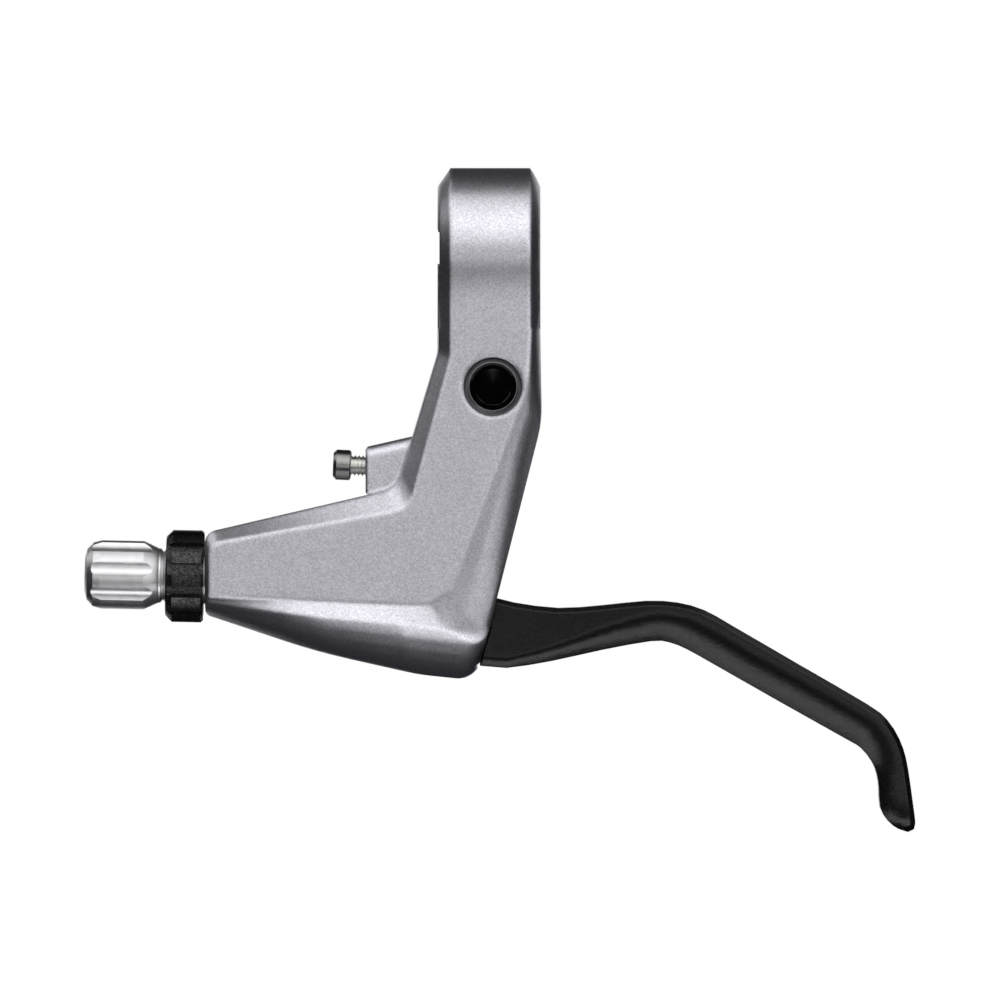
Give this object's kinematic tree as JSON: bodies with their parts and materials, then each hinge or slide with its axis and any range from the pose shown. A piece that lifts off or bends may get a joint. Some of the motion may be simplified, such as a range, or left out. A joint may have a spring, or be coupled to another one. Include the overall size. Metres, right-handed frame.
{
  "type": "bicycle brake lever",
  "caption": "Flat-bar bicycle brake lever: silver cast bracket with a bar clamp, pivoting black finger blade, fluted cable adjuster with lock ring, and a reach screw.",
  "frame": {"origin": "centre of the clamp bore, on the handlebar's axis", "axes": "+X along the handlebar, outboard; +Y from the upper face to the underside; +Z from the blade to the bar"},
  "size_m": [0.1523, 0.0366, 0.1218],
  "materials": {
    "silver_paint": "satin metallic silver paint on a casting",
    "black_paint": "satin black, fine grain",
    "dark_steel": "blackened steel",
    "gloss_black": "gloss",
    "bush_plastic": "plain",
    "bright_aluminium": "turned and polished",
    "ring_plastic": "fine grain",
    "bolt_steel": "zinc plated"
  },
  "bodies": {
    "bracket": {"bracket_body": "silver_paint", "pivot_axle": "dark_steel", "pivot_cap": "gloss_black", "pivot_clip": "dark_steel", "clamp_bolt": "bolt_steel"},
    "lever": {"lever_blade": "black_paint", "pivot_bush_front": "bush_plastic", "pivot_bush_rear": "bush_plastic"},
    "lock_ring": {"lock_ring": "ring_plastic"},
    "adjuster": {"cable_adjuster": "bright_aluminium"},
    "reach_screw": {"reach_screw": "dark_steel"}
  },
  "joints": [
    {"name": "lever_pivot", "type": "hinge", "parent": "bracket", "child": "lever", "pos_m": [0.00073, 0, -0.0256], "axis": [0, -1, 0], "range_deg": [0, 38]},
    {"name": "lock_ring_turn", "type": "hinge", "parent": "bracket", "child": "lock_ring", "pos_m": [-0.052, 0.0005, -0.06035], "axis": [-0.9998, 0, 0.0209], "range_deg": [0, 1800]},
    {"name": "adjuster_travel", "type": "slide", "parent": "lock_ring", "child": "adjuster", "axis": [-0.9998, 0, 0.0209], "range_m": [0, 0.005]},
    {"name": "reach_screw_turn", "type": "hinge", "parent": "bracket", "child": "reach_screw", "pos_m": [-0.0226, 0.0005, -0.04005], "axis": [-0.999, 0, 0.0436], "range_deg": [0, 1440]}
  ],
  "couplings": [
    {"joint": "adjuster_travel", "follows": "lock_ring_turn", "m_per_rad": 0.00015915}
  ]
}
